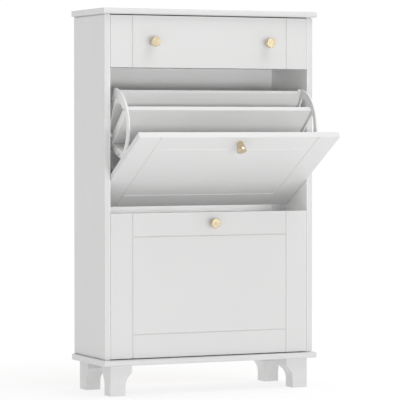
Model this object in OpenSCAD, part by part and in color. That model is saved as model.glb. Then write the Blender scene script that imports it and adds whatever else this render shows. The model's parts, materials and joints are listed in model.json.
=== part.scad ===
// Shoe cabinet with one drawer and two flip-out shoe compartments on bracket feet.
// Millimetres. +Z is up, the front faces -Y. The origin is on the floor, at the middle of the
// width and of the depth that the cabinet takes up with its upper compartment open.

/* [Carcass] */
// Width across the two side panels
body_w = 586; // [480:1:720]
// Depth of the side panels, front edge to back edge
body_d = 211; // [200:1:260]
// Thickness of the panels, the doors and the drawer front
panel_t = 15; // [12:0.5:18]
// Thickness of the back panel
back_t = 3; // [2.5:0.5:5]
// How far the top and base boards stand out past the side panels
overhang_side = 7; // [0:0.5:20]
// How far the top and base boards stand out past the fronts
overhang_front = 14; // [4:0.5:25]
// Radius of the rounded front edges of the top and base boards
edge_r = 6; // [2:0.5:6]

/* [Feet] */
// Height of the bracket feet
foot_h = 77; // [70:1:120]
// Width of a foot where it meets the base board
foot_w = 59; // [48:1:90]
// Width of a foot at the floor
foot_low_w = 41; // [25:1:46]
// Height of the straight band above the curve of a foot
foot_band = 20; // [10:1:30]
// Height of the curve of a foot, from the straight band down to the leg
foot_cove_h = 33; // [20:1:38]
// How far the feet stand in from the side panels
foot_inset = 15; // [0:1:40]

/* [Fronts] */
// Height of the lower door
lower_door_h = 369; // [340:1:450]
// Height of the upper door
upper_door_h = 355; // [330:1:430]
// Height of the drawer front
drawer_front_h = 132; // [120:1:200]
// Gap between a front and the side panels
front_side_gap = 1; // [1:0.5:4]
// Gap between the lower door and the base board
lower_gap = 2.5; // [2.5:0.1:5]
// Gap between the two doors, in which the upper one swings down
flip_gap = 12; // [12:0.5:20]
// Gap between the upper door and the drawer front, and above the drawer front
drawer_gap = 2.5; // [2:0.5:5]
// Width of the flat frame that the grooves draw on each front
frame_w = 60; // [40:1:80]
// Width of a groove at the surface
groove_w = 4; // [2:0.5:6]
// Depth of a groove
groove_d = 2; // [1:0.25:3]

/* [Knobs] */
// Radius of a knob's face
knob_face_r = 13; // [9:0.5:18]
// Radius of a knob where it meets the front
knob_base_r = 7.5; // [5:0.5:10]
// How far a knob stands out
knob_len = 25; // [16:0.5:35]
// Distance from a door's top edge down to the middle of its knob
knob_drop = 28; // [20:1:50]
// How far a door's knob stands to the right of the door's middle
knob_shift = 6; // [-20:1:20]
// Distance from a side panel's outer face to the middle of a drawer knob
drawer_knob_in = 131; // [60:1:200]

/* [Flips] */
// Angle through which a door opens
open_angle = 59.5; // [40:0.5:62]
// Depth of the upper pivot behind the door's outer face
upper_pivot_d = 58; // [54:0.5:62]
// Depth of the lower pivot behind the door's outer face
lower_pivot_d = 20; // [20:0.5:21]
// Height of both pivots above the door's bottom edge
pivot_h = 103.5; // [102:0.5:106]
// Distance between a bracket and the side panel beside it
bracket_inset = 14; // [8:0.5:20]
// Thickness of a bracket
bracket_t = 4; // [3:0.5:6]
// Clear distance between a closed bracket and the back panel
back_clear = 5; // [4:0.5:12]
// Height of a bracket's tip above the door's bottom edge
tip_h = 250; // [235:1:255]
// Height of the centre of a bracket's arc above the door's bottom edge
arc_h = 191.5; // [185:0.5:195]
// Distance from the door to the front of a bracket's arc
arc_front = 5.7; // [2:0.1:10]
// Width of a bracket's rim beside the rear pocket
rim_rear_w = 24; // [16:1:28]
// Width of a bracket's rim beside the front pocket
rim_front_w = 15; // [10:1:20]
// Thickness of the boards of a flip
board_t = 12; // [9:0.5:15]
// Distance from the door to the divider's upper front edge
front_pocket_d = 106.5; // [95:0.5:112]
// Height of the divider's upper front edge above the door's bottom edge
divider_h = 283; // [270:1:286]
// How far the divider leans back when the door is shut
divider_lean = 10.5; // [8:0.5:12]
// How far the back board leans back when the door is shut
back_lean = 28; // [24:0.5:30]
// How steeply the base board falls to the back when the door is shut
base_slope = 40.5; // [36:0.5:44]
// Height of the base board's lower front edge above the door's bottom edge
base_front_h = 209; // [203:1:214]

/* [Shelves] */
// Thickness of the shelf under the drawer
drawer_shelf_t = 12; // [10:0.5:15]
// Distance from the lower door's top edge down to the top of the middle shelf
shelf_drop = 6.5; // [6:0.5:8]

/* [Drawer] */
// Thickness of the drawer's sides and back
drawer_side_t = 12; // [10:0.5:15]
// Height of the drawer's sides
drawer_side_h = 88; // [60:1:90]
// Clear distance between the drawer and the back panel
drawer_back_clear = 12; // [6:1:30]
// Thickness of the drawer's bottom
drawer_bottom_t = 3; // [2.5:0.5:4]
// Space that a runner and its slide take up on each side
runner_space = 12.5; // [12:0.5:14]
// Height of a runner
runner_h = 36; // [30:1:44]

/* [Hardware] */
// Thickness of the steel of runners and wall brackets
steel_t = 1.2; // [1:0.1:1.5]
// Radius of the pivot pins and the stop pins
pin_r = 3; // [2.5:0.1:3.5]
// Radius of the curved slot's middle line around the pivot
slot_r = 34; // [30:0.5:35]
// Distance between the two wall screws
wall_span = 440; // [300:5:460]
// Radius of the holes for the wall screws
wall_hole_r = 2.75; // [2:0.25:3.5]

/* [Clearances] */
// Radial clearance of a pivot pin in its bracket
pivot_play = 0.08; // [0.03:0.01:0.1]
// Clearance around a stop pin in its slot
slot_play = 0.4; // [0.3:0.05:0.8]
// Clearance between a runner and its slide
slide_play = 0.4; // [0.3:0.05:0.6]
// Gap between a bracket and the ends of its boards
board_end_gap = 1; // [0.5:0.25:2]
// Clearance where one board of a flip stops at another
board_gap = 1; // [0.5:0.25:2]
// Radial clearance of a screw or a dowel in its hole
hole_play = 0.1; // [0.05:0.05:0.3]

/* [Hidden] */
$fn = 64;
EPS = 0.01;

WHITE = [0.93, 0.93, 0.93];
PLASTIC = [0.84, 0.84, 0.83];
STEEL = [0.70, 0.71, 0.72];
GOLD = [0.83, 0.68, 0.38];
BEECH = [0.80, 0.66, 0.47];
BOARD = [0.86, 0.86, 0.85];

// Heights above the floor
base_top = foot_h + panel_t;
lower_z = base_top + lower_gap;
shelf_top = lower_z + lower_door_h - shelf_drop;
upper_z = lower_z + lower_door_h + flip_gap;
drawer_z = upper_z + upper_door_h + drawer_gap;
side_top = drawer_z + drawer_front_h + drawer_gap;
top_z = side_top + panel_t;
drawer_shelf_z = drawer_z + 3;
drawer_shelf_top = drawer_shelf_z + drawer_shelf_t;
drawer_side_z = drawer_shelf_top + 3;
runner_z = drawer_side_z + drawer_side_h / 2;

// Widths: the fronts, and the faces that the brackets and the drawer turn or slide between
inner_x = body_w / 2 - panel_t;
front_w = 2 * (inner_x - front_side_gap);
bracket_x = inner_x - bracket_inset;
board_x = bracket_x - bracket_t - board_end_gap;
drawer_x = inner_x - runner_space;

// Depths: the origin lies midway between the open door's knob and the back panel's rear face
knob_reach_h = upper_door_h - knob_drop + knob_face_r - pivot_h;
corner_reach = (upper_door_h - pivot_h) * sin(open_angle) + upper_pivot_d * cos(open_angle);
knob_reach = knob_reach_h * sin(open_angle) + (upper_pivot_d + knob_len) * cos(open_angle);
open_reach = max(corner_reach, knob_reach) - upper_pivot_d;
front_y = (open_reach - body_d - back_t) / 2;
back_y = front_y + body_d;

// Arc of the brackets: it starts arc_front behind the door and ends at the tip
tip_d = body_d - back_clear;
arc_start = panel_t + arc_front;
arc_r = (pow(tip_d - arc_start, 2) + pow(tip_h - arc_h, 2)) / (2 * (tip_d - arc_start));
arc_d = arc_start + arc_r;

// Boards of a flip: corners as [depth behind the outer face, height above the bottom edge]
base_dir = [cos(base_slope), -sin(base_slope)];
base_up = [sin(base_slope), cos(base_slope)];
base_corner = [panel_t + board_gap, base_front_h];
base_top_pt = base_corner + board_t * base_up;
divider_dir = [-sin(divider_lean), -cos(divider_lean)];
divider_pt = [panel_t + front_pocket_d, divider_h];
back_dir = [-sin(back_lean), -cos(back_lean)];
back_rear_dir = [cos(back_lean), -sin(back_lean)];
tip_edge = 3.5;
back_rear_pt = [tip_d - tip_edge, tip_h - tip_edge];
back_front_pt = back_rear_pt - board_t * back_rear_dir;
// How far a line runs from a point before it meets the top of the base board
function run_to_base(pt, dir) = ((base_top_pt - pt) * base_up) / (dir * base_up);
// How far the base board's top runs before it meets the front of the back board
base_run = ((back_front_pt - base_top_pt) * back_rear_dir) / (base_dir * back_rear_dir);
base_len = base_run - board_gap;
divider_len = run_to_base(divider_pt, divider_dir) - board_gap;
back_len = run_to_base(back_front_pt, back_dir) + board_t;

// Struts of a bracket: how far each stands out past the boards that it carries
strut_lead = 6.5;
strut_trail = 2;
rear_strut_lead = 7;
base_strut_lead = 7;
base_strut_w = 19.5;
strut_low = base_strut_w - base_strut_lead;
web_low_h = 60;
pivot_boss_r = 8;
flange_w = 14;
flange_t = 3;
flange_low = web_low_h + 6;
flange_high = arc_h + 10;
flange_gap = 12;
// How far the divider's front runs before it meets the top edge of the base board's strut
divider_run = run_to_base(divider_pt, divider_dir) + base_strut_lead / (divider_dir * base_up);
arc_join_h = arc_h + 24;
arc_join_d = arc_d - sqrt(pow(arc_r, 2) - pow(arc_join_h - arc_h, 2));

// Turning stops: where the stop pins stand around each pivot
upper_stop_a = -60;
lower_stop_a = -20;
stop_end_gap = 0.5;
slot_relief = 0.25;

// Screws, dowels and cams
screw_r = 2;
screw_head_r = 3.5;
screw_head_t = 2;
flange_screw_l = 12;
cam_r = 7.5;
cam_t = 11;
cam_depth = 34;
cam_edge = 0.5;
cam_bolt_r = 3;
cam_bolt_in = 11;
cam_inset = 40;
nail_r = 0.9;
nail_head_r = 3;
nail_head_t = 0.8;
nail_l = 16;
foot_screw_l = 40;
knob_screw_r = 2;
knob_screw_in = 12;
knob_screw_head_r = 4;
knob_screw_head_t = 2.4;
knob_rim = 4;
knob_fillet = 1.2;
dowel_r = 4;
dowel_l = 24;
runner_l = body_d - 26;
runner_y = front_y + panel_t + 4;

// ---------------------------------------------------------------- helpers

// Turns children about a pivot, given in depths and heights of a door
module flip(door_z, pivot_d, angle) {
    translate([0, front_y + pivot_d, door_z + pivot_h])
        rotate([angle, 0, 0])
            translate([0, -pivot_d, -pivot_h])
                children();
}
module upper_flip() {
    flip(upper_z, upper_pivot_d, open_angle) children();
}
module lower_flip() {
    flip(lower_z, lower_pivot_d, 0) children();
}
// Stands a drawing of depths and heights upright, t wide, from x towards the middle
module slab(x, t) {
    translate([x, 0, 0])
        rotate([90, 0, 90])
            linear_extrude(height = t)
                children();
}
// A slab at the left side, or its mirror image at the right side
module side_slab(side, x, t) {
    slab(side < 0 ? -x : x - t, t) children();
}
// Cylinder from a point along X, of length l towards +X
module along_x(p, r, l) {
    translate(p)
        rotate([0, 90, 0])
            cylinder(r = r, h = l);
}
// Cylinder from a point along Y, of length l towards +Y
module along_y(p, r, l) {
    translate(p)
        rotate([-90, 0, 0])
            cylinder(r = r, h = l);
}
// Cylinder whose near end is at |x| and whose far end is d closer to the middle
module inwards(side, x, d, p, r) {
    along_x([side < 0 ? -x : x - d, p[0], p[1]], r, d);
}

// ---------------------------------------------------------------- carcass

// Rows of fasteners
function cam_rows() = [front_y + cam_inset, back_y - cam_inset];
function shelf_mids() = [drawer_shelf_z + drawer_shelf_t / 2, shelf_top - panel_t / 2];
function nail_heights() = [for (i = [0 : 5]) base_top + 40 + i * (side_top - base_top - 80) / 5];
function nail_xs() = [for (i = [-1 : 1]) i * (inner_x - 100)];
function foot_xs() = [for (s = [-1, 1]) s * (body_w / 2 - foot_inset - foot_low_w / 2)];
function foot_ys() = [front_y + foot_low_w / 2, back_y - foot_low_w / 2];
function pivot_at(door_z, pivot_d) = [front_y + pivot_d, door_z + pivot_h];
function stop_at(door_z, pivot_d, a) = pivot_at(door_z, pivot_d) + slot_r * [cos(a), sin(a)];
pin_seat = 10;
pin_collar_r = 4.5;
pin_collar_gap = 0.5;
pin_tip_in = 3;

// Narrow rebates round the ends of a side panel, which draw a shadow line beside the boards
reveal_h = 2.5;
reveal_d = 3;

// Every pin's place in the side panels
function pin_places() = [
    pivot_at(upper_z, upper_pivot_d),
    stop_at(upper_z, upper_pivot_d, upper_stop_a),
    pivot_at(lower_z, lower_pivot_d),
    stop_at(lower_z, lower_pivot_d, lower_stop_a)
];
module side_panel(side) {
    color(WHITE)
    difference() {
        translate([side < 0 ? -body_w / 2 : inner_x, front_y, base_top])
            cube([panel_t, body_d, side_top - base_top]);
        for (z = [base_top - 1, side_top - reveal_h]) {
            translate([side < 0 ? -body_w / 2 - 1 : body_w / 2 - reveal_d, front_y - 1, z])
                cube([reveal_d + 1, body_d + 2, reveal_h + 1]);
            translate([side * (inner_x + panel_t / 2) - panel_t, front_y - 1, z])
                cube([2 * panel_t, reveal_d + 1, reveal_h + 1]);
        }
        for (p = pin_places())
            inwards(side, inner_x + pin_seat, pin_seat + EPS, p, pin_r + hole_play / 2);
        for (y = cam_rows(), z = shelf_mids())
            inwards(side, inner_x + cam_bolt_in, cam_bolt_in + EPS, [y, z], cam_bolt_r + hole_play);
        for (y = cam_rows()) {
            translate([side * (inner_x + panel_t / 2), y, side_top - cam_depth])
                cylinder(r = cam_bolt_r + hole_play, h = cam_depth + EPS);
            inwards(side, inner_x + cam_t, cam_t + EPS, [y, side_top - cam_depth], cam_r + hole_play);
            translate([side * (inner_x + panel_t / 2), y, base_top - EPS])
                cylinder(r = screw_r + hole_play, h = foot_screw_l);
        }
        for (z = nail_heights())
            along_y([side * (inner_x + panel_t / 2), back_y - nail_l, z],
                nail_r + hole_play / 2, nail_l + EPS);
        for (y = [runner_y + 25, runner_y + runner_l - 25])
            inwards(side, inner_x + 10, 10 + EPS, [y, runner_z], screw_r * 0.8 + hole_play);
    }
}
// Outline of the top and base boards, with both front edges rounded
module board_outline() {
    board_l = body_d + overhang_front;
    translate([edge_r, 0])
        square([board_l - edge_r, panel_t]);
    translate([0, edge_r])
        square([edge_r + EPS, panel_t - 2 * edge_r]);
    for (h = [edge_r, panel_t - edge_r])
        translate([edge_r, h])
            circle(r = edge_r);
}
module edge_board(z) {
    translate([0, front_y - overhang_front, z])
        slab(-body_w / 2 - overhang_side, body_w + 2 * overhang_side)
            board_outline();
}
module top_board() {
    color(WHITE)
    difference() {
        edge_board(side_top);
        for (s = [-1, 1], y = cam_rows())
            translate([s * (inner_x + panel_t / 2), y, side_top - EPS])
                cylinder(r = cam_bolt_r + hole_play, h = cam_bolt_in);
        for (x = [-1, 1] * wall_span / 2)
            translate([x, back_y - wall_leg / 2, side_top - EPS])
                cylinder(r = screw_r + hole_play, h = 11);
        for (x = nail_xs())
            along_y([x, back_y - nail_l, side_top + panel_t / 2], nail_r + hole_play / 2, nail_l + EPS);
    }
}
module base_board() {
    color(WHITE)
    difference() {
        edge_board(foot_h);
        for (x = foot_xs(), y = foot_ys()) {
            translate([x, y, foot_h - EPS])
                cylinder(r = screw_r + hole_play, h = panel_t + 2 * EPS);
            translate([x, y, base_top - screw_head_t])
                cylinder(r = screw_head_r + hole_play, h = screw_head_t + EPS);
        }
        for (s = [-1, 1], y = cam_rows()) {
            translate([s * (inner_x + panel_t / 2), y, foot_h - EPS])
                cylinder(r = screw_r + hole_play, h = panel_t + 2 * EPS);
            translate([s * (inner_x + panel_t / 2), y, foot_h - EPS])
                cylinder(r = screw_head_r + hole_play, h = screw_head_t + EPS);
        }
        for (x = nail_xs())
            along_y([x, back_y - nail_l, foot_h + panel_t / 2], nail_r + hole_play / 2, nail_l + EPS);
    }
}
module back_panel() {
    color(BOARD)
    difference() {
        translate([-body_w / 2 + 1, back_y, foot_h + 1])
            cube([body_w - 2, back_t, top_z - foot_h - 2]);
        for (s = [-1, 1], z = nail_heights())
            along_y([s * (inner_x + panel_t / 2), back_y - EPS, z], nail_r + hole_play / 2, back_t + 1);
        for (x = nail_xs(), z = [foot_h + panel_t / 2, side_top + panel_t / 2])
            along_y([x, back_y - EPS, z], nail_r + hole_play / 2, back_t + 1);
        for (x = [-1, 1] * wall_span / 2)
            along_y([x, back_y - EPS, wall_hole_z], wall_hole_r + 1.25, back_t + 1);
    }
}
// A shelf held by cam locks at both ends
module shelf(z, t) {
    difference() {
        translate([-inner_x, front_y + panel_t + 1, z])
            cube([2 * inner_x, body_d - panel_t - 1, t]);
        for (s = [-1, 1], y = cam_rows()) {
            inwards(s, inner_x + EPS, cam_depth, [y, z + t / 2], cam_bolt_r + hole_play);
            translate([s * (inner_x - cam_depth), y, z - EPS])
                cylinder(r = cam_r + hole_play, h = min(cam_t, t - 1.5));
        }
    }
}
module drawer_shelf() {
    color(BOARD)
    shelf(drawer_shelf_z, drawer_shelf_t);
}
module middle_shelf() {
    color(BOARD)
    shelf(shelf_top - panel_t, panel_t);
}
// Side outline of a foot: a straight band, then a hollow curve that narrows to the leg
module foot_outline() {
    cove_w = foot_w - foot_low_w;
    cove_r = (pow(cove_w, 2) + pow(foot_cove_h, 2)) / (2 * cove_w);
    cove_z = foot_h - foot_band - foot_cove_h;
    difference() {
        square([foot_w, foot_h]);
        translate([foot_low_w, -EPS])
            square([foot_w, cove_z + EPS]);
        translate([foot_low_w + cove_r, cove_z])
            circle(r = cove_r, $fn = 128);
    }
}
// One bracket foot, standing in the corner at the origin and facing +X and +Y
module foot_block() {
    intersection() {
        translate([0, foot_w + 1, 0])
            rotate([90, 0, 0])
                linear_extrude(height = foot_w + 2)
                    foot_outline();
        slab(-1, foot_w + 2)
            foot_outline();
    }
}
module foot(sx, sy) {
    color(WHITE)
    difference() {
        translate([sx * (body_w / 2 - foot_inset), sy < 0 ? front_y : back_y, 0])
            mirror([sx > 0 ? 1 : 0, 0, 0])
                mirror([0, sy > 0 ? 1 : 0, 0])
                    foot_block();
        for (x = foot_xs(), y = foot_ys())
            translate([x, y, foot_h - foot_screw_l + panel_t - 1])
                cylinder(r = screw_r + hole_play, h = foot_screw_l);
    }
}
// Countersunk screw, head up at z = 0 and pointing down
module screw(l) {
    translate([0, 0, -screw_head_t])
        cylinder(r = screw_head_r, h = screw_head_t);
    translate([0, 0, -l])
        cylinder(r = screw_r, h = l - screw_head_t + EPS);
}
module foot_screws() {
    color(STEEL)
    for (x = foot_xs(), y = foot_ys())
        translate([x, y, base_top])
            screw(foot_screw_l);
}
module base_screws() {
    color(STEEL)
    for (s = [-1, 1], y = cam_rows())
        translate([s * (inner_x + panel_t / 2), y, foot_h])
            mirror([0, 0, 1])
                screw(foot_screw_l);
}
module cam_bolts() {
    color(STEEL) {
        for (s = [-1, 1], y = cam_rows(), z = shelf_mids())
            inwards(s, inner_x + cam_bolt_in - 1, cam_bolt_in + cam_depth - cam_r - 2, [y, z], cam_bolt_r);
        for (s = [-1, 1], y = cam_rows())
            translate([s * (inner_x + panel_t / 2), y, side_top - cam_depth + cam_r + 1])
                cylinder(r = cam_bolt_r, h = cam_depth - cam_r + cam_bolt_in - 3);
    }
}
// Cam lock: a short drum with a cross recess in its face
module cam(t) {
    difference() {
        cylinder(r = cam_r, h = t);
        for (a = [0, 90])
            rotate([0, 0, a])
                translate([-cam_r * 0.6, -1, -EPS])
                    cube([cam_r * 1.2, 2, 2]);
    }
}
module cam_locks() {
    color(STEEL) {
        for (s = [-1, 1], y = cam_rows()) {
            translate([s * (inner_x - cam_depth), y, drawer_shelf_z])
                cam(drawer_shelf_t - 1.5 - cam_edge);
            translate([s * (inner_x - cam_depth), y, shelf_top - panel_t])
                cam(cam_t - cam_edge);
            translate([s * inner_x, y, side_top - cam_depth])
                rotate([0, s * 90, 0])
                    cam(cam_t - cam_edge);
        }
    }
}
module back_nail(x, z) {
    along_y([x, back_y + back_t, z], nail_head_r, nail_head_t);
    along_y([x, back_y + back_t - nail_l, z], nail_r, nail_l + EPS);
}
module back_nails() {
    color(STEEL) {
        for (s = [-1, 1], z = nail_heights())
            back_nail(s * (inner_x + panel_t / 2), z);
        for (x = nail_xs(), z = [foot_h + panel_t / 2, side_top + panel_t / 2])
            back_nail(x, z);
    }
}
// Wall brackets: steel angles under the top board, screwed to it and to the wall
wall_leg = 20;
wall_drop = 26;
wall_bracket_w = 22;
wall_plate_t = 2;
wall_hole_z = side_top - 15;
module wall_brackets() {
    color(STEEL)
    for (x = [-1, 1] * wall_span / 2)
        difference() {
            union() {
                translate([x - wall_bracket_w / 2, back_y - wall_leg, side_top - wall_plate_t])
                    cube([wall_bracket_w, wall_leg, wall_plate_t]);
                translate([x - wall_bracket_w / 2, back_y - wall_plate_t, side_top - wall_drop])
                    cube([wall_bracket_w, wall_plate_t, wall_drop]);
            }
            along_y([x, back_y - wall_plate_t - EPS, wall_hole_z], wall_hole_r, wall_plate_t + 2 * EPS);
            translate([x, back_y - wall_leg / 2, side_top - wall_plate_t - EPS])
                cylinder(r = screw_r + hole_play, h = wall_plate_t + 2 * EPS);
        }
}
module wall_bracket_screws() {
    color(STEEL)
    for (x = [-1, 1] * wall_span / 2)
        translate([x, back_y - wall_leg / 2, side_top - wall_plate_t - screw_head_t])
            mirror([0, 0, 1])
                screw(14);
}
// Channel of a runner or a slide, web on the side at x = 0 and open towards +X
module channel(h, reach) {
    translate([0, -h / 2])
        square([steel_t, h]);
    for (z = [-h / 2, h / 2 - steel_t])
        translate([0, z])
            square([reach, steel_t]);
}
module runner(side) {
    color(STEEL)
    difference() {
        translate([side * inner_x, runner_y, runner_z])
            rotate([-90, 0, 0])
                mirror([side > 0 ? 1 : 0, 0, 0])
                    linear_extrude(height = runner_l)
                        channel(runner_h, runner_space - 3);
        for (y = [runner_y + 25, runner_y + runner_l - 25])
            inwards(side, inner_x + EPS, steel_t + 2 * EPS, [y, runner_z], screw_r * 0.8 + hole_play);
    }
}
// Small flat-headed screw along X, head towards the middle
module side_screw(side, x, p, l) {
    inwards(side, x + l, l + EPS, p, screw_r * 0.8);
    inwards(side, x, 1.5, p, screw_head_r);
}
module runner_screws() {
    color(STEEL)
    for (s = [-1, 1], y = [runner_y + 25, runner_y + runner_l - 25])
        side_screw(s, inner_x - steel_t, [y, runner_z], 10);
}
// Pivot pin: pressed into the side panel, with a collar that keeps the bracket off it
module pivot_pins(door_z, pivot_d) {
    color(STEEL)
    for (s = [-1, 1]) {
        seat = pin_seat - 1;
        reach = bracket_inset + bracket_t + pin_tip_in;
        inwards(s, inner_x + seat, seat + reach, pivot_at(door_z, pivot_d), pin_r);
        inwards(s, inner_x, bracket_inset - pin_collar_gap, pivot_at(door_z, pivot_d), pin_collar_r);
    }
}
module stop_pins(door_z, pivot_d, a) {
    color(STEEL)
    for (s = [-1, 1]) {
        seat = pin_seat - 1;
        reach = bracket_inset + bracket_t + 1;
        inwards(s, inner_x + seat, seat + reach, stop_at(door_z, pivot_d, a), pin_r);
    }
}

// ---------------------------------------------------------------- fronts and knobs

// V groove along X or Z, cut into the outer face of a front
module groove_x(x0, x1, z) {
    translate([x0, front_y, z])
        rotate([90, 0, 90])
            linear_extrude(height = x1 - x0)
                polygon([[-EPS, -groove_w / 2], [-EPS, groove_w / 2], [groove_d, 0]]);
}
module groove_z(x, z0, z1) {
    translate([x, front_y, z0])
        linear_extrude(height = z1 - z0)
            polygon([[-groove_w / 2, -EPS], [groove_w / 2, -EPS], [0, groove_d]]);
}
// A front with two long grooves, and two short ones between them on a door
module front_board(z, h, cross) {
    difference() {
        translate([-front_w / 2, front_y, z])
            cube([front_w, panel_t, h]);
        for (s = [-1, 1])
            groove_z(s * (front_w / 2 - frame_w), z - 1, z + h + 1);
        if (cross)
            for (at = [z + frame_w, z + h - frame_w])
                groove_x(-front_w / 2 + frame_w, front_w / 2 - frame_w, at);
    }
}
// Turned knob on the outer face: a flared cone with a flat face
module knob(x, z) {
    cone_l = knob_len - knob_rim;
    color(GOLD)
    translate([x, front_y, z])
        rotate([90, 0, 0])
            difference() {
                rotate_extrude()
                    polygon([[0, 0], [knob_base_r, 0], [knob_face_r, cone_l],
                        [knob_face_r, knob_len - knob_fillet], [knob_face_r - knob_fillet, knob_len],
                        [0, knob_len]]);
                translate([0, 0, -EPS])
                    cylinder(r = knob_screw_r + hole_play, h = knob_screw_in + 1);
            }
}
module knob_hole(x, z) {
    along_y([x, front_y - 1, z], knob_screw_r + hole_play, panel_t + 2);
}
module knob_screw(x, z) {
    color(STEEL) {
        along_y([x, front_y - knob_screw_in, z], knob_screw_r, knob_screw_in + panel_t + EPS);
        along_y([x, front_y + panel_t, z], knob_screw_head_r, knob_screw_head_t);
    }
}

// ---------------------------------------------------------------- drawer

drawer_len = body_d - panel_t - drawer_back_clear;
drawer_in_x = drawer_x - drawer_side_t;
drawer_bottom_z = drawer_side_z + 8;
drawer_groove = 5;
drawer_back_z = drawer_bottom_z + drawer_bottom_t + 2 * hole_play;
drawer_end_y = front_y + panel_t + drawer_len;
drawer_knob_x = body_w / 2 - drawer_knob_in;
drawer_knob_z = drawer_z + drawer_front_h / 2;
function dowel_heights() = [drawer_side_z + 24, drawer_side_z + drawer_side_h - 20];
module drawer_front() {
    color(WHITE)
    difference() {
        front_board(drawer_z, drawer_front_h, false);
        for (s = [-1, 1]) {
            knob_hole(s * drawer_knob_x, drawer_knob_z);
            for (z = dowel_heights())
                along_y([s * (drawer_x - drawer_side_t / 2), front_y + panel_t - dowel_l / 2 + 2, z],
                    dowel_r + hole_play, dowel_l / 2);
        }
        translate([-drawer_in_x - drawer_groove, front_y + panel_t - drawer_groove, drawer_bottom_z])
            cube([2 * (drawer_in_x + drawer_groove), drawer_groove + EPS, drawer_bottom_t + 2 * hole_play]);
    }
}
module drawer_side(side) {
    color(WHITE)
    difference() {
        translate([side < 0 ? -drawer_x : drawer_in_x, front_y + panel_t, drawer_side_z])
            cube([drawer_side_t, drawer_len, drawer_side_h]);
        translate([-drawer_in_x - drawer_groove, front_y + panel_t - 1, drawer_bottom_z])
            cube([2 * (drawer_in_x + drawer_groove), drawer_len + 2, drawer_bottom_t + 2 * hole_play]);
        for (z = dowel_heights()) {
            along_y([side * (drawer_x - drawer_side_t / 2), front_y + panel_t - EPS, z],
                dowel_r + hole_play, dowel_l / 2 + 2);
            inwards(side, drawer_x + EPS, drawer_side_t + 1,
                [drawer_end_y - drawer_side_t / 2, z], screw_r + hole_play);
        }
        for (y = slide_screw_rows())
            inwards(side, drawer_x + EPS, 9, [y, runner_z], screw_r * 0.8 + hole_play);
    }
}
module drawer_back() {
    color(WHITE)
    difference() {
        translate([-drawer_in_x, drawer_end_y - drawer_side_t, drawer_back_z])
            cube([2 * drawer_in_x, drawer_side_t, drawer_side_z + drawer_side_h - drawer_back_z]);
        for (s = [-1, 1], z = dowel_heights())
            inwards(s, drawer_in_x + EPS, 24, [drawer_end_y - drawer_side_t / 2, z], screw_r + hole_play);
    }
}
module drawer_bottom() {
    color(BOARD)
    translate([-drawer_in_x - drawer_groove + 0.5, front_y + panel_t - drawer_groove + 0.5,
        drawer_bottom_z + hole_play])
        cube([2 * (drawer_in_x + drawer_groove) - 1, drawer_len + drawer_groove - 0.5, drawer_bottom_t]);
}
function slide_screw_rows() = [runner_y + 20, runner_y + runner_l - 35];
module drawer_slide(side) {
    slide_h = runner_h - 2 * (steel_t + slide_play);
    color(STEEL)
    difference() {
        translate([side * drawer_x, runner_y, runner_z])
            rotate([-90, 0, 0])
                mirror([side < 0 ? 1 : 0, 0, 0])
                    linear_extrude(height = runner_l - 10)
                        channel(slide_h, runner_space - steel_t - 0.5);
        for (y = slide_screw_rows())
            inwards(side, drawer_x + steel_t + EPS, steel_t + 2 * EPS, [y, runner_z],
                screw_r * 0.8 + hole_play);
    }
}
module slide_screws() {
    color(STEEL)
    for (s = [-1, 1], y = slide_screw_rows()) {
        inwards(s, drawer_x + steel_t + EPS, 9, [y, runner_z], screw_r * 0.8);
        inwards(s, drawer_x + steel_t + 1.5, 1.5, [y, runner_z], screw_head_r);
    }
}
module drawer_dowels() {
    color(BEECH)
    for (s = [-1, 1], z = dowel_heights())
        along_y([s * (drawer_x - drawer_side_t / 2), front_y + panel_t - dowel_l / 2 + 3, z],
            dowel_r, dowel_l - 3);
}
module drawer_screws() {
    color(STEEL)
    for (s = [-1, 1], z = dowel_heights()) {
        p = [drawer_end_y - drawer_side_t / 2, z];
        inwards(s, drawer_x + 1.5, 1.5, p, screw_head_r);
        inwards(s, drawer_x + EPS, 34, p, screw_r);
    }
}
module drawer_knob(side) {
    knob(side * drawer_knob_x, drawer_knob_z);
}
module drawer_knob_screws() {
    for (s = [-1, 1])
        knob_screw(s * drawer_knob_x, drawer_knob_z);
}

// ---------------------------------------------------------------- flips

// The flips are drawn shut, in depths behind front_y and heights above the door's bottom edge
function on_divider(s, t) = divider_pt + s * divider_dir + t * [cos(divider_lean), -sin(divider_lean)];
function on_back(s, t) = back_front_pt + s * back_dir + t * back_rear_dir;
function on_base(s, t) = base_top_pt + s * base_dir - t * base_up;
function divider_screws() = [on_divider(5.5, board_t / 2), on_divider(divider_len - 16, board_t / 2)];
function back_screws() = [on_back(30, board_t / 2), on_back(back_len - 34, board_t / 2)];
function base_screws_at() = [on_base(34, board_t / 2), on_base(base_len - 52, board_t / 2)];
function board_screws() = concat(divider_screws(), back_screws(), base_screws_at());
function flange_screws() = [flange_low + 14, flange_high - 14];

// Everything that a bracket covers before its windows are cut
module bracket_blank() {
    rear_top = on_back(-tip_edge, board_t + strut_trail);
    rear_low = on_back(back_len, board_t + strut_trail);
    web_corner = [panel_t, arc_join_h - 12];
    intersection() {
        translate([arc_d, arc_h])
            circle(r = arc_r, $fn = 128);
        polygon([[panel_t, arc_join_h - 3], [panel_t, arc_h + arc_r + 1],
            [rear_top[0], arc_h + arc_r + 1], rear_top, on_back(60, board_t + strut_trail),
            [arc_d, arc_join_h - 3]]);
    }
    polygon([[panel_t, web_low_h], web_corner, web_corner + 1.4 * ([arc_join_d, arc_join_h] - web_corner),
        [arc_d, arc_join_h + 1], on_back(50, board_t + strut_trail), rear_low,
        on_back(back_len, -rear_strut_lead), [upper_pivot_d + slot_r, web_low_h + 16],
        [upper_pivot_d + slot_r - 14, web_low_h]]);
}
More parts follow.
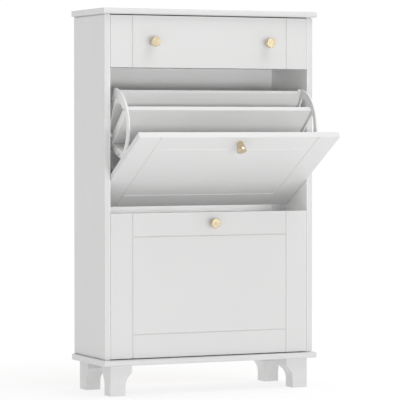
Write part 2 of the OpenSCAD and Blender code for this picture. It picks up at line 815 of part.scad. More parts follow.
// Window beside the front pocket: inside the rim, ahead of the divider, above the base board
module front_window() {
    low = on_base(0, -base_strut_lead);
    heel = on_divider(divider_run, -strut_lead);
    intersection() {
        translate([arc_d, arc_h])
            circle(r = arc_r - rim_front_w, $fn = 128);
        polygon([low, heel, on_divider(0, -strut_lead), on_divider(-40, -strut_lead),
            [panel_t, arc_h + arc_r]]);
    }
}
// Window beside the rear pocket: inside the rim, between the divider and the back board
module rear_window() {
    mid = on_divider(divider_run - 6, board_t - strut_trail);
    low = on_back(back_len - board_t - base_strut_lead - 24, -rear_strut_lead);
    intersection() {
        translate([arc_d, arc_h])
            circle(r = arc_r - rim_rear_w, $fn = 128);
        polygon([mid, on_divider(-40, board_t - strut_trail), on_back(-40, -rear_strut_lead), low]);
    }
}
// Window under the base board, above the pivot
module low_window() {
    near = panel_t + 12;
    low = pivot_h + 24;
    a = on_base((near - base_top_pt[0] + strut_low * base_up[0]) / base_dir[0], strut_low);
    lowest = (base_top_pt[1] - strut_low * base_up[1] - low - 6) / sin(base_slope);
    b = on_base(min(base_len - 40, lowest), strut_low);
    polygon([[near, low], a, b, [b[0] - 6, low]]);
}
// Curved slot that a stop pin runs in while the flip turns
module stop_slot(pivot_d, stop_a) {
    slot_half = pin_r + slot_play;
    end_a = stop_end_gap / slot_r * 180 / PI;
    a0 = stop_a - open_angle - end_a;
    a1 = stop_a + end_a;
    mid = (a0 + a1) / 2;
    far = 3 * slot_r;
    translate([pivot_d, pivot_h]) {
        intersection() {
            difference() {
                circle(r = slot_r + slot_half, $fn = 96);
                circle(r = slot_r - slot_half, $fn = 96);
            }
            polygon([[0, 0], far * [cos(a0), sin(a0)], far * [cos(mid), sin(mid)],
                far * [cos(a1), sin(a1)]]);
        }
        for (a = [a0, a1])
            translate(slot_r * [cos(a), sin(a)])
                circle(r = slot_half + slot_relief);
    }
}
module bracket(side, pivot_d, stop_a) {
    boss_x = bracket_x - bracket_t;
    boss_r = min(pivot_boss_r, pivot_d - panel_t - 0.3);
    back_tab = on_back(0, board_t + strut_trail);
    color(PLASTIC)
    difference() {
        union() {
            side_slab(side, bracket_x, bracket_t)
                difference() {
                    bracket_blank();
                    front_window();
                    rear_window();
                    low_window();
                    stop_slot(pivot_d, stop_a);
                }
            side_slab(side, bracket_x, flange_w) {
                translate([panel_t, flange_low])
                    square([flange_t, pivot_h - flange_gap - flange_low]);
                translate([panel_t, pivot_h + flange_gap])
                    square([flange_t, flange_high - pivot_h - flange_gap]);
            }
            side_slab(side, bracket_x, bracket_t + board_end_gap + 6)
                translate(back_tab)
                    rotate(-back_lean)
                        translate([-board_t * 0.7, 0.5])
                            square([board_t * 0.7, tip_edge - 0.7]);
            inwards(side, boss_x + EPS, pin_tip_in, [pivot_d, pivot_h], boss_r);
        }
        inwards(side, bracket_x + 1, bracket_t + pin_tip_in + 2, [pivot_d, pivot_h], pin_r + pivot_play);
        for (p = board_screws())
            inwards(side, bracket_x + 1, bracket_t + 2, p, screw_r + hole_play);
        inwards(side, bracket_x + 1, bracket_t + 2, on_divider(15, -4), 1.5);
        for (z = flange_screws())
            along_y([side * (bracket_x - flange_w + 5), panel_t - 1, z], screw_r + hole_play, flange_t + 2);
    }
}
// A board of a flip: from a corner, turned to its own direction and drilled at both ends
module flip_board(corner, turn, len, holes) {
    color(BOARD)
    difference() {
        slab(-board_x, 2 * board_x)
            translate(corner)
                rotate(turn)
                    square([len, board_t]);
        for (s = [-1, 1], p = holes)
            inwards(s, board_x + EPS, 20, p, screw_r + hole_play);
    }
}
module divider() {
    flip_board(divider_pt, -90 - divider_lean, divider_len, divider_screws());
}
module back_board() {
    flip_board(back_front_pt, -90 - back_lean, back_len, back_screws());
}
module shoe_base() {
    flip_board(base_corner, -base_slope, base_len, base_screws_at());
}
module bracket_screws() {
    color(STEEL)
    for (s = [-1, 1]) {
        for (p = board_screws()) {
            inwards(s, bracket_x + screw_head_t, screw_head_t, p, screw_head_r);
            inwards(s, bracket_x + EPS, bracket_t + board_end_gap + 16, p, screw_r);
        }
        for (z = flange_screws()) {
            along_y([s * (bracket_x - flange_w + 5), panel_t + flange_t, z], screw_head_r, screw_head_t);
            along_y([s * (bracket_x - flange_w + 5), panel_t + flange_t - flange_screw_l, z],
                screw_r, flange_screw_l + EPS);
        }
    }
}
// A door: drawn shut at front_y = 0 of the flip's own depths
module door(h) {
    color(WHITE)
    difference() {
        translate([0, -front_y, 0])
            difference() {
                front_board(0, h, true);
                knob_hole(knob_shift, h - knob_drop);
            }
        for (s = [-1, 1], z = flange_screws())
            along_y([s * (bracket_x - flange_w + 5), panel_t + flange_t - flange_screw_l - 1, z],
                screw_r + hole_play, flange_screw_l);
    }
}
module door_knob(h) {
    translate([0, -front_y, 0])
        knob(knob_shift, h - knob_drop);
}
module door_knob_screw(h) {
    translate([0, -front_y, 0])
        knob_screw(knob_shift, h - knob_drop);
}

// ---------------------------------------------------------------- nodes

side_panel(-1);  // side_panel_left
side_panel(1);  // side_panel_right
top_board();
base_board();
back_panel();
drawer_shelf();
middle_shelf();
foot(-1, -1);  // foot_front_left
foot(1, -1);  // foot_front_right
foot(-1, 1);  // foot_back_left
foot(1, 1);  // foot_back_right
foot_screws();
base_screws();
cam_bolts();
cam_locks();
back_nails();
wall_brackets();
wall_bracket_screws();
runner(-1);  // runner_left
runner(1);  // runner_right
runner_screws();
pivot_pins(upper_z, upper_pivot_d);  // upper_pivot_pins
pivot_pins(lower_z, lower_pivot_d);  // lower_pivot_pins
stop_pins(upper_z, upper_pivot_d, upper_stop_a);  // upper_stop_pins
stop_pins(lower_z, lower_pivot_d, lower_stop_a);  // lower_stop_pins
drawer_front();
drawer_side(-1);  // drawer_side_left
drawer_side(1);  // drawer_side_right
drawer_back();
drawer_bottom();
drawer_slide(-1);  // drawer_slide_left
drawer_slide(1);  // drawer_slide_right
slide_screws();
drawer_dowels();
drawer_screws();
drawer_knob(-1);  // drawer_knob_left
drawer_knob(1);  // drawer_knob_right
drawer_knob_screws();
upper_flip() door(upper_door_h);  // upper_door
upper_flip() door_knob(upper_door_h);  // upper_knob
upper_flip() door_knob_screw(upper_door_h);  // upper_knob_screw
upper_flip() bracket(-1, upper_pivot_d, upper_stop_a);  // upper_bracket_left
upper_flip() bracket(1, upper_pivot_d, upper_stop_a);  // upper_bracket_right
upper_flip() divider();  // upper_divider
upper_flip() back_board();  // upper_back_board
upper_flip() shoe_base();  // upper_base_board
upper_flip() bracket_screws();  // upper_bracket_screws
lower_flip() door(lower_door_h);  // lower_door
lower_flip() door_knob(lower_door_h);  // lower_knob
lower_flip() door_knob_screw(lower_door_h);  // lower_knob_screw
lower_flip() bracket(-1, lower_pivot_d, lower_stop_a);  // lower_bracket_left
lower_flip() bracket(1, lower_pivot_d, lower_stop_a);  // lower_bracket_right
lower_flip() divider();  // lower_divider
lower_flip() back_board();  // lower_back_board
lower_flip() shoe_base();  // lower_base_board
lower_flip() bracket_screws();  // lower_bracket_screws
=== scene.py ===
# %% [markdown]
# # A slim shoe cabinet
#
# The cabinet is lacquered board: two side panels, a top, a drawer, and two doors that tip
# out with shoe pockets behind them. Every board, bracket, knob and screw comes from the
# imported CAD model, already at its true size and place, so this lesson gives each of them
# what a drawing lacks: eased edges, a believable finish, a floor to stand on and light.
#
# Its nodes stay where they are for good.

import json
from math import radians, tau

import bpy
from mathutils import Matrix, Vector


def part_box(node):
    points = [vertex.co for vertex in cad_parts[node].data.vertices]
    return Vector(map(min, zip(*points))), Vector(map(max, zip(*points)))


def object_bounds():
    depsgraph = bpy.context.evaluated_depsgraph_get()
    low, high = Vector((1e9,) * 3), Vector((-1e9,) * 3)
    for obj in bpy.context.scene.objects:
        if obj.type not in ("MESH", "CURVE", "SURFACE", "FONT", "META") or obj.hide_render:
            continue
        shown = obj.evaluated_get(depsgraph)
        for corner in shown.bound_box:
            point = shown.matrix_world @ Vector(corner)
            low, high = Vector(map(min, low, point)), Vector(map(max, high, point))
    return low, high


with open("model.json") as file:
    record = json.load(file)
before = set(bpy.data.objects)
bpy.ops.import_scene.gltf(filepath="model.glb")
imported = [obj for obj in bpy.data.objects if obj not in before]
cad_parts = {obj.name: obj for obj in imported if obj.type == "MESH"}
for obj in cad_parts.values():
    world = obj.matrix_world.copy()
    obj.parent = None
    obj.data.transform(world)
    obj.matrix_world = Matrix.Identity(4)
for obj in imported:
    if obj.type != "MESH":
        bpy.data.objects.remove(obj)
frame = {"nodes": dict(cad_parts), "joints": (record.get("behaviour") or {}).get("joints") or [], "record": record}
nodes = frame["nodes"]
cad_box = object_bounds()

# %% [markdown]
# ## The camera
#
# A long lens from some six metres away keeps the uprights of furniture nearly parallel.
# The camera stands to the left of the cabinet, a little below the middle of its height,
# and looks slightly down. A camera in Blender looks along its own -Z axis, so a quarter
# turn about X makes it look level, and the last turn about Z swings it to the right.

# %% Set the camera
LENS_MM = 219.1
SENSOR_MM = 36.0
LOOK_DOWN = 1.776
SWING_RIGHT = 24.361
CAMERA_PLACE = (-2.60565, -5.70224, 0.688524)
FAR_ENOUGH = 200.0
camera_data = bpy.data.cameras.new("camera")
camera_data.lens = LENS_MM
camera_data.sensor_width = SENSOR_MM
camera_data.clip_end = FAR_ENOUGH
camera = bpy.data.objects.new("camera", camera_data)
camera.location = CAMERA_PLACE
camera.rotation_euler = (radians(90.0 - LOOK_DOWN), 0.0, radians(-SWING_RIGHT))
bpy.context.scene.collection.objects.link(camera)
bpy.context.scene.camera = camera
print("camera stands", round(camera.location.length, 2), "m from the cabinet's foot")

# %% [markdown]
# ## Eased edges
#
# No edge of a painted board is a knife edge. It is sanded to a small round, and that
# round catches a thin line of light which tells the eye that the board is solid. The
# CAD solids have sharp edges, so a Bevel modifier eases them. The imported mesh has
# separate points along each edge, which a bevel can't bridge: a Weld modifier joins them
# first. Modifiers leave the mesh itself as it came, so the frame keeps its shapes.

# %% Ease the edges of every piece
# Width of the round in metres and number of steps across it, for each material slot
EASE = {
    "white_lacquer": (0.0011, 3),
    "white_board": (0.0005, 2),
    "bracket_plastic": (0.0006, 2),
    "steel": (0.0002, 1),
    "knob_brass": (0.0005, 3),
    "beech": (0.0008, 2),
}
SAME_POINT = 0.00001
SHARP_ANGLE = 32.0
slot_of = {part["node"]: part["material_slot"] for part in frame["record"]["subparts"]}


def ease_edges(piece, width, steps):
    """Joins the points of a piece, rounds its sharp edges and shades it smooth between them."""
    mesh = piece.data
    if "custom_normal" in mesh.attributes:
        mesh.attributes.remove(mesh.attributes["custom_normal"])
    mesh.shade_smooth()
    weld = piece.modifiers.new("join_points", "WELD")
    weld.merge_threshold = SAME_POINT
    bevel = piece.modifiers.new("eased_edges", "BEVEL")
    bevel.width = width
    bevel.segments = steps
    bevel.limit_method = "ANGLE"
    bevel.angle_limit = radians(SHARP_ANGLE)
    bevel.harden_normals = True
    bevel.miter_outer = "MITER_ARC"
    bevel.use_clamp_overlap = True


for name, piece in nodes.items():
    ease_edges(piece, *EASE[slot_of[name]])
print("eased", len(nodes), "pieces")

# %% [markdown]
# ## Helpers for finishes
#
# A finish here is a small graph of shader nodes. Wiring each node by hand would bury the
# idea of a finish under its plumbing, so seven short helpers do it: they start a material,
# add a node and plug its inputs, map a value onto a span, blend two colours, make noise,
# find the place of a point and press a pattern into the surface. Places are object
# coordinates, in metres, so a scale of 100 makes features about a centimetre wide.

# %% Define the helpers
def start_finish(name, **sockets):
    """A new material, its node tree and its shader, with fixed values on its own sockets."""
    finish = bpy.data.materials.new(name)
    finish.use_nodes = True
    shader = finish.node_tree.nodes["Principled BSDF"]
    for socket, value in sockets.items():
        shader.inputs[socket.replace("_", " ")].default_value = value
    return finish, finish.node_tree, shader


def add_node(tree, kind, inputs, **options):
    """A shader node. An input given as a socket is linked, and any other value is set."""
    node = tree.nodes.new("ShaderNode" + kind)
    for option, value in options.items():
        setattr(node, option, value)
    for socket, value in inputs.items():
        if isinstance(value, bpy.types.NodeSocket):
            tree.links.new(value, node.inputs[socket])
        else:
            node.inputs[socket].default_value = value
    return node


def span(tree, value, low, high, start=0.0, end=1.0):
    """Maps a value that runs from start to end onto low to high."""
    inputs = {"Value": value, "From Min": start, "From Max": end, "To Min": low, "To Max": high}
    return add_node(tree, "MapRange", inputs).outputs["Result"]


def blend_colours(tree, factor, first, second):
    """The first colour where factor is 0 and the second where it is 1."""
    inputs = {0: factor, 6: first, 7: second}
    return add_node(tree, "Mix", inputs, data_type="RGBA").outputs[2]


def grain(tree, place, scale, detail=3.0, roughness=0.5):
    """A cloud of noise between 0 and 1."""
    inputs = {"Vector": place, "Scale": scale, "Detail": detail, "Roughness": roughness}
    return add_node(tree, "TexNoise", inputs).outputs["Fac"]


def object_place(tree):
    """Where a point is in the frame, in metres, as it was before its body moved."""
    return add_node(tree, "TexCoord", {}).outputs["Object"]


def bump(tree, shader, height, distance, strength=1.0):
    """Presses a height pattern into the surface. Distance is the pattern's depth in metres."""
    inputs = {"Height": height, "Distance": distance, "Strength": strength}
    node = add_node(tree, "Bump", inputs)
    tree.links.new(node.outputs["Normal"], shader.inputs["Normal"])


# %% [markdown]
# ## White lacquer
#
# The doors, the drawer front, the side panels, the top and the feet are sprayed with
# satin lacquer. Sprayed paint isn't flat: it dries with an orange peel, a soft waviness
# a few millimetres across and a few hundredths deep. Its white also wanders by a percent
# or two, and hands and dust dull the sheen in patches. Three noises make these, each at
# its own scale. Near the floor, shoes leave faint grey scuffs, so a fourth noise shows
# through only in the lowest centimetres.

# %% Make the lacquer
SCUFF_HEIGHT = 0.055
SCUFF_GREY = (0.42, 0.41, 0.39, 1.0)
ORANGE_PEEL_DEPTH = 0.00003
LACQUER_WHITE = (0.665, 0.665, 0.663, 1.0)
LACQUER_SHADE = (0.65, 0.65, 0.647, 1.0)


def lacquer(name, colour, shade, scuffed=False):
    """Satin lacquer with orange peel, in a colour that wanders towards a shade."""
    finish, tree, shader = start_finish(
        name, Coat_Weight=0.12, Coat_Roughness=0.22, Specular_IOR_Level=0.45)
    place = object_place(tree)
    drift = span(tree, grain(tree, place, 2.4, 2.0), 0.0, 1.0, 0.3, 0.7)
    paint = blend_colours(tree, drift, colour, shade)
    if scuffed:
        height = add_node(tree, "SeparateXYZ", {0: place}).outputs["Z"]
        near_floor = span(tree, height, 1.0, 0.0, 0.0, SCUFF_HEIGHT)
        rubs = span(tree, grain(tree, place, 130.0, 6.0, 0.65), 0.0, 0.3, 0.55, 0.75)
        where = add_node(tree, "Math", {0: near_floor, 1: rubs}, operation="MULTIPLY")
        paint = blend_colours(tree, where.outputs[0], paint, SCUFF_GREY)
    tree.links.new(paint, shader.inputs["Base Color"])
    dulled = span(tree, grain(tree, place, 14.0, 5.0, 0.6), 0.34, 0.46, 0.3, 0.7)
    tree.links.new(dulled, shader.inputs["Roughness"])
    bump(tree, shader, grain(tree, place, 340.0, 2.0, 0.4), ORANGE_PEEL_DEPTH, 0.6)
    return finish


front_lacquer = lacquer("front_lacquer", LACQUER_WHITE, LACQUER_SHADE)
foot_lacquer = lacquer("foot_lacquer", LACQUER_WHITE, LACQUER_SHADE, scuffed=True)
print("made", front_lacquer.name, "and", foot_lacquer.name)

# %% [markdown]
# ## Foil on the inner boards
#
# Shelves, drawer sides and pocket boards are chipboard under a white foil. The foil is
# duller than lacquer and is embossed with a fine pebble, so light spreads softly on it.
# A Voronoi pattern gives the pebble, because its cells are the rounded bumps that the
# embossing roller leaves. Crumbs of chipboard under the foil show as a faint unevenness.
# Shelves get a bright white. The pocket boards get a duller white as painted shade: they catch more lamp light
# than the shelves, and the darker colour holds them down.

# %% Make the foil
INNER_WHITE = (0.88, 0.88, 0.877, 1.0)
INNER_SHADE = (0.86, 0.86, 0.855, 1.0)
# Painted shade: the pocket boards' white is darker than the shelves' because they catch more lamp light
POCKET_WHITE_PAINTED_SHADE = (0.73, 0.73, 0.726, 1.0)
POCKET_DRIFT_PAINTED_SHADE = (0.71, 0.71, 0.705, 1.0)
PEBBLE_DEPTH = 0.00003


def foil(name, colour, shade):
    """Embossed white foil on chipboard."""
    finish, tree, shader = start_finish(name, Specular_IOR_Level=0.4)
    place = object_place(tree)
    drift = span(tree, grain(tree, place, 5.0, 3.0), 0.0, 1.0, 0.3, 0.7)
    tree.links.new(blend_colours(tree, drift, colour, shade), shader.inputs["Base Color"])
    tree.links.new(
        span(tree, grain(tree, place, 60.0, 4.0), 0.5, 0.64), shader.inputs["Roughness"])
    pebble = add_node(tree, "TexVoronoi", {"Vector": place, "Scale": 900.0}).outputs["Distance"]
    crumbs = grain(tree, place, 160.0, 3.0)
    height = add_node(tree, "Math", {0: pebble, 1: crumbs}, operation="ADD").outputs[0]
    bump(tree, shader, height, PEBBLE_DEPTH, 0.5)
    return finish


# The pocket boards wear a darker copy of the same foil, a painted shade against the extra light they catch
pocket_foil_painted_shade = foil("pocket_foil_painted_shade", POCKET_WHITE_PAINTED_SHADE, POCKET_DRIFT_PAINTED_SHADE)
shelf_foil = foil("shelf_foil", INNER_WHITE, INNER_SHADE)
print("made", pocket_foil_painted_shade.name, "and", shelf_foil.name)

# %% [markdown]
# ## Side panels with two faces
#
# A side panel is lacquered on the faces that show and keeps the bare white foil on the
# face that looks into the cabinet, which nobody sprays. The foil is whiter than the
# lacquer, and it carries daylight into the pockets. The change from one to the other is
# by width: a point nearer the middle than the panel's inner face, within a hair, is foil.

# %% Make the side panels' finish
FACE_HAIR = 0.0012


def faced_panel(name, face_x):
    """Lacquer, with white foil on the inner face, whose distance from the middle is face_x."""
    finish = lacquer(name, LACQUER_WHITE, LACQUER_SHADE)
    tree = finish.node_tree
    shader = tree.nodes["Principled BSDF"]
    paint = shader.inputs["Base Color"].links[0].from_socket
    width = add_node(tree, "SeparateXYZ", {0: object_place(tree)}).outputs["X"]
    reach = add_node(tree, "Math", {0: width}, operation="ABSOLUTE").outputs[0]
    inside = add_node(tree, "Math", {0: reach, 1: face_x + FACE_HAIR}, operation="LESS_THAN")
    tree.links.new(
        blend_colours(tree, inside.outputs[0], paint, INNER_WHITE), shader.inputs["Base Color"])
    return finish


inner_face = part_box("side_panel_right")[0].x
side_faces = faced_panel("side_faces", inner_face)
print("side panels change to foil at x =", round(inner_face, 4))

# %% [markdown]
# ## Hardboard at the back
#
# The back panel is pressed fibre, white on the side that faces the shoes and bare brown
# on the side that faces the wall. Both faces belong to one thin board, so one material
# holds both finishes and changes from one to the other by depth: the place along Y says
# which face a point is on. The bare face gets the woven print of the press's wire screen.

# %% Make the hardboard
BARE_DARK = (0.30, 0.20, 0.12, 1.0)
BARE_PALE = (0.42, 0.30, 0.19, 1.0)
SCREEN_TURN = 2600.0
SCREEN_DEPTH = 0.0001


def hardboard(name, split_y):
    """White in front of split_y and bare pressed fibre behind it."""
    finish, tree, shader = start_finish(name, Specular_IOR_Level=0.3)
    place = object_place(tree)
    axes = add_node(tree, "SeparateXYZ", {0: place})
    behind = add_node(
        tree, "Math", {0: axes.outputs["Y"], 1: split_y}, operation="GREATER_THAN").outputs[0]
    fibres = span(tree, grain(tree, place, 240.0, 8.0, 0.7), 0.0, 1.0, 0.35, 0.65)
    bare = blend_colours(tree, fibres, BARE_DARK, BARE_PALE)
    painted = blend_colours(tree, grain(tree, place, 6.0), INNER_WHITE, INNER_SHADE)
    tree.links.new(blend_colours(tree, behind, painted, bare), shader.inputs["Base Color"])
    tree.links.new(span(tree, behind, 0.5, 0.85), shader.inputs["Roughness"])
    across = [axes.outputs["X"], axes.outputs["Z"]]
    wires = [
        add_node(tree, "Math", {0: way, 1: SCREEN_TURN}, operation="MULTIPLY").outputs[0]
        for way in across]
    waves = [add_node(tree, "Math", {0: wire}, operation="SINE").outputs[0] for wire in wires]
    screen = add_node(tree, "Math", {0: waves[0], 1: waves[1]}, operation="MULTIPLY").outputs[0]
    depth = add_node(tree, "Math", {0: screen, 1: behind}, operation="MULTIPLY").outputs[0]
    bump(tree, shader, depth, SCREEN_DEPTH, 0.7)
    return finish


panel_low, panel_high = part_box("back_panel")
panel_middle = (panel_low.y + panel_high.y) / 2
panel_board = hardboard("panel_board", panel_middle)
print("the back panel turns bare behind y =", round(panel_middle, 4))

# %% [markdown]
# ## Moulded plastic brackets
#
# The curved brackets that carry the pocket boards are injection-moulded. The mould is
# spark-eroded, which leaves an even, very fine grain and a low sheen. Plastic lets a
# little light in under its skin, which softens its shadows, so the shader gets a touch
# of subsurface. Handling leaves a few pale rub marks, made by a stretched noise.

# %% Make the plastic
BRACKET_WHITE = (0.77, 0.77, 0.765, 1.0)
BRACKET_RUBBED = (0.80, 0.80, 0.797, 1.0)
SPARK_GRAIN_DEPTH = 0.00004


def moulded_plastic(name, colour, rubbed):
    """White plastic with a spark-eroded grain and faint rub marks."""
    finish, tree, shader = start_finish(
        name, Specular_IOR_Level=0.5, Subsurface_Weight=0.08, Subsurface_Scale=0.002,
        Subsurface_Radius=(1.0, 1.0, 1.0))
    place = object_place(tree)
    stretched = add_node(tree, "Mapping", {"Vector": place, "Scale": (1.0, 9.0, 60.0)})
    marks = span(tree, grain(tree, stretched.outputs[0], 6.0, 5.0, 0.6), 0.0, 1.0, 0.58, 0.72)
    tree.links.new(blend_colours(tree, marks, colour, rubbed), shader.inputs["Base Color"])
    tree.links.new(span(tree, marks, 0.46, 0.36), shader.inputs["Roughness"])
    bump(tree, shader, grain(tree, place, 2200.0, 3.0, 0.7), SPARK_GRAIN_DEPTH, 0.5)
    return finish


bracket_plastic = moulded_plastic("moulded_bracket", BRACKET_WHITE, BRACKET_RUBBED)
print("made", bracket_plastic.name)

# %% [markdown]
# ## Polished knobs
#
# A knob is turned on a lathe and then plated gold. The lathe leaves rings about the
# knob's own axis, so the pattern needs the distance from that axis. A Mapping node lays
# each knob on the origin: it takes away the knob's centre and undoes the tilt of a knob
# whose door stands open. The length of what is left across the axis is the ring's
# radius, and a sine of it gives the rings. Each knob gets its own copy of the finish,
# because each has its own centre.

# %% Make a finish for each knob
RING_PITCH = 0.0004
RING_DEPTH = 0.000002
GOLD_CLEAR = (0.68, 0.57, 0.39, 1.0)
GOLD_DULL = (0.56, 0.46, 0.30, 1.0)


def turned_gold(name, centre, tilt):
    """Plated gold with lathe rings about the axis through centre, which a tilt turns about X."""
    finish, tree, shader = start_finish(name, Metallic=1.0, Coat_Weight=0.3, Coat_Roughness=0.05)
    place = object_place(tree)
    laid = add_node(tree, "Mapping", {
        "Vector": place, "Location": tuple(centre), "Rotation": (tilt, 0.0, 0.0)},
        vector_type="TEXTURE")
    across = add_node(
        tree, "VectorMath", {0: laid.outputs[0], 1: (1.0, 0.0, 1.0)}, operation="MULTIPLY")
    radius = add_node(tree, "VectorMath", {0: across.outputs[0]}, operation="LENGTH")
    turns = add_node(
        tree, "Math", {0: radius.outputs["Value"], 1: tau / RING_PITCH}, operation="MULTIPLY")
    rings = add_node(tree, "Math", {0: turns.outputs[0]}, operation="SINE").outputs[0]
    tarnish = span(tree, grain(tree, place, 90.0, 4.0, 0.6), 0.0, 1.0, 0.45, 0.75)
    gold = blend_colours(tree, tarnish, GOLD_CLEAR, GOLD_DULL)
    tree.links.new(gold, shader.inputs["Base Color"])
    tree.links.new(span(tree, tarnish, 0.13, 0.24), shader.inputs["Roughness"])
    bump(tree, shader, rings, RING_DEPTH, 0.5)
    return finish


OPEN_TILT = radians(next(
    -joint["range_deg"][0] for joint in frame["joints"] if joint["name"] == "upper_flip_hinge"))
knob_finish = {}
for name in (node for node in nodes if slot_of[node] == "knob_brass"):
    low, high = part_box(name)
    tilt = OPEN_TILT if name.startswith("upper") else 0.0
    knob_finish[name] = turned_gold("gold_" + name, (low + high) / 2, tilt)
print("made", len(knob_finish), "knob finishes; an open door tilts by", round(OPEN_TILT, 3), "rad")

# %% [markdown]
# ## Zinc-plated steel
#
# Screws, pins, runners and wall angles are plated with zinc. Fresh zinc is bluish grey
# and slightly cloudy, with a spangle of large pale crystals and fine drawing lines. A
# Voronoi pattern gives each crystal its own grey, and a stretched noise draws the lines.

# %% Make the zinc
ZINC_DARK = (0.56, 0.57, 0.59, 1.0)
ZINC_PALE = (0.68, 0.69, 0.70, 1.0)
DRAWN_LINE_DEPTH = 0.00001


def plated_steel(name):
    """Zinc on steel: crystals of slightly different greys with fine drawn lines."""
    finish, tree, shader = start_finish(name, Metallic=1.0)
    place = object_place(tree)
    crystals = add_node(tree, "TexVoronoi", {"Vector": place, "Scale": 260.0}).outputs["Color"]
    grey = blend_colours(tree, span(tree, crystals, 0.0, 1.0), ZINC_DARK, ZINC_PALE)
    tree.links.new(grey, shader.inputs["Base Color"])
    drawn = add_node(tree, "Mapping", {"Vector": place, "Scale": (300.0, 12.0, 300.0)})
    lines = grain(tree, drawn.outputs[0], 4.0, 4.0)
    tree.links.new(span(tree, lines, 0.28, 0.45), shader.inputs["Roughness"])
    bump(tree, shader, lines, DRAWN_LINE_DEPTH, 0.4)
    return finish


zinc = plated_steel("zinc_plate")
print("made", zinc.name)

# %% [markdown]
# ## Beech dowels
#
# The drawer's corners are held by dowels of bare beech. Beech is pale and even, and its
# rays show as short darker flecks that lie along the grain. Noise that is stretched along
# one axis gives flecks, so no picture of wood is needed for pieces this small.

# %% Make the beech
BEECH_PALE = (0.62, 0.42, 0.24, 1.0)
BEECH_FLECK = (0.45, 0.28, 0.15, 1.0)
FLECK_DEPTH = 0.00006


def beech_wood(name):
    """Bare beech: pale, with short darker flecks along Y."""
    finish, tree, shader = start_finish(name, Specular_IOR_Level=0.3)
    stretched = add_node(
        tree, "Mapping", {"Vector": object_place(tree), "Scale": (1.0, 0.12, 1.0)})
    flecks = grain(tree, stretched.outputs[0], 700.0, 6.0, 0.65)
    rays = span(tree, flecks, 0.0, 1.0, 0.4, 0.7)
    wood = blend_colours(tree, rays, BEECH_PALE, BEECH_FLECK)
    tree.links.new(wood, shader.inputs["Base Color"])
    tree.links.new(span(tree, flecks, 0.5, 0.7), shader.inputs["Roughness"])
    bump(tree, shader, flecks, FLECK_DEPTH, 0.5)
    return finish


beech = beech_wood("dowel_beech")
print("made", beech.name)

# %% [markdown]
# ## Who wears what
#
# The record of the model says which finish slot each piece belongs to. Most slots have
# one finish, and a few pieces have their own: the side panels have two faces, the pocket
# boards are a duller white, the feet are scuffed, the back panel is hardboard and each
# knob has its own rings. A CAD node keeps its material slot, and the finish takes the
# place of the plain colour in it.

# %% Dress every piece
by_slot = {
    "white_lacquer": front_lacquer,
    "white_board": shelf_foil,
    "bracket_plastic": bracket_plastic,
    "steel": zinc,
    "beech": beech,
}
own_finish = {"back_panel": panel_board, **knob_finish}
for name in nodes:
    if name.startswith("side_panel_"):
        own_finish[name] = side_faces
    # The pocket boards take the darker foil, a painted shade
    if name.startswith(("upper_", "lower_")) and slot_of[name] == "white_board":
        own_finish[name] = pocket_foil_painted_shade
    if name.startswith("foot_") and slot_of[name] == "white_lacquer":
        own_finish[name] = foot_lacquer
for name, piece in nodes.items():
    finish = own_finish.get(name) or by_slot[slot_of[name]]
    piece.data.materials.clear()
    piece.data.materials.append(finish)
print("dressed", len(nodes), "pieces,", len(own_finish), "of them in a finish of their own")

# %% [markdown]
# ## The floor
#
# A studio floor is pale and runs out of sight without a line where it meets the wall.
# One large square does for it. Under the cabinet, a share of it is an ordinary matt
# surface that takes a faint shadow of the feet, and the rest glows like a light table.
# Further out the matt share fades, until the floor glows as brightly as the studio
# behind it and the horizon disappears.

# %% Lay the floor
FLOOR_HALF = 60.0
STUDIO_WHITE = 1.02
# Share of matt surface under the cabinet, and the distances where it starts to fade and ends
MATT_SHARE = 0.3
MATT_UNTIL = 0.35
GLOW_FROM = 1.6
MOTTLE_DARK = 0.93
MOTTLE_PALE = 0.96
floor_mesh = bpy.data.meshes.new("floor")
floor_mesh.from_pydata(
    [(x, y, 0.0) for x, y in ((-1, -1), (1, -1), (1, 1), (-1, 1))], [], [(0, 1, 2, 3)])
floor_mesh.transform(Matrix.Scale(FLOOR_HALF, 4))
floor = bpy.data.objects.new("floor", floor_mesh)
bpy.context.scene.collection.objects.link(floor)

floor_finish, tree, shader = start_finish("studio_floor", Specular_IOR_Level=0.1)
place = object_place(tree)
mottle = span(tree, grain(tree, place, 3.0, 4.0), MOTTLE_DARK, MOTTLE_PALE)
tree.links.new(mottle, shader.inputs["Base Color"])
tree.links.new(
    span(tree, mottle, 0.8, 0.9, MOTTLE_DARK, MOTTLE_PALE), shader.inputs["Roughness"])
away = add_node(tree, "VectorMath", {0: place}, operation="LENGTH").outputs["Value"]
glow = add_node(tree, "Emission", {"Color": (1.0, 1.0, 1.0, 1.0), "Strength": STUDIO_WHITE})
turn = add_node(tree, "MixShader", {
    0: span(tree, away, 1.0 - MATT_SHARE, 1.0, MATT_UNTIL, GLOW_FROM),
    1: shader.outputs[0], 2: glow.outputs[0]})
tree.links.new(turn.outputs[0], tree.nodes["Material Output"].inputs["Surface"])
floor_mesh.materials.append(floor_finish)
print("floor is", 2 * FLOOR_HALF, "m wide")

# %% [markdown]
# ## The studio around
#
# White furniture needs light from all round, or its shaded sides turn grey and dirty. So
# most of the light is the studio itself: a world that is bright behind the cabinet and
# dimmer towards the front. The left side panel then reads darker than the lit fronts, and
# the knobs have something dark to mirror. How bright a direction is depends on how far it
# points towards the bright side, which a dot product measures.

# %% Light the world
BRIGHT_SIDE = (0.2, 0.98, 0.0)
DIM_WORLD = 0.26
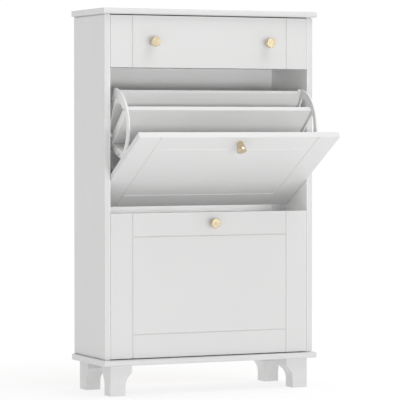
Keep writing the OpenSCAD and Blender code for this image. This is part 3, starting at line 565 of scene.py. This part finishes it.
# How far a direction points towards the bright side, where the world is dimmest and where
# it has reached its full white
DIMMEST_AT = -0.9
WHITE_AT = 0.3
world = bpy.data.worlds.new("studio")
bpy.context.scene.world = world
world.use_nodes = True
tree = world.node_tree
sky = tree.nodes["Background"]
sky.inputs["Color"].default_value = (1.0, 1.0, 1.0, 1.0)
direction = add_node(tree, "TexCoord", {}).outputs["Generated"]
facing = add_node(
    tree, "VectorMath", {0: direction, 1: BRIGHT_SIDE}, operation="DOT_PRODUCT").outputs["Value"]
tree.links.new(
    span(tree, facing, DIM_WORLD, STUDIO_WHITE, DIMMEST_AT, WHITE_AT), sky.inputs["Strength"])
bpy.context.scene.view_settings.view_transform = "Standard"
print("the world's strength runs from", DIM_WORLD, "to", STUDIO_WHITE)

# %% [markdown]
# ## Lamps
#
# A long strip lamp stands in front at the height of the gap between the doors, so that it
# shines through the gap onto the back panel. A lamp overhead lights the top and the upper
# edges. A tall card, placed where the knobs mirror it, gives their faces a gleam. A very
# faint strip is hidden on the middle shelf behind the open door: it keeps the space under
# the pockets from going black, and the camera can't see it.

# %% Hang the lamps
GAP_HEIGHT = 0.53
CARD_HEIGHT = 0.84


def panel_lamp(name, place, aim, width, height, power):
    """A rectangular lamp at a place, turned to face an aim. Power is in watts."""
    data = bpy.data.lights.new(name, "AREA")
    data.shape = "RECTANGLE"
    data.size = width
    data.size_y = height
    data.energy = power
    lamp = bpy.data.objects.new(name, data)
    lamp.location = place
    lamp.rotation_euler = (Vector(aim) - Vector(place)).to_track_quat("-Z", "Y").to_euler()
    bpy.context.scene.collection.objects.link(lamp)
    return lamp


middle = (cad_box[0] + cad_box[1]) / 2
lamps = [
    panel_lamp("front_strip", (-0.35, -2.7, GAP_HEIGHT), (0.0, 0.0, GAP_HEIGHT), 1.9, 0.3, 26.0),
    panel_lamp("overhead", (0.8, -1.2, 3.2), middle, 2.0, 1.6, 30.0),
    panel_lamp("knob_card", (1.25, -2.7, CARD_HEIGHT), (0.0, 0.0, CARD_HEIGHT), 0.5, 0.95, 2.2),
    panel_lamp("shelf_fill", (0.0, 0.15, 0.475), (0.0, 0.2, 0.478), 0.5, 0.015, 0.045),
]
lamps[-1].visible_camera = False
for lamp in lamps:
    print(lamp.name, "shines with", round(lamp.data.energy, 3), "W")

# %% Finish
print("finished")
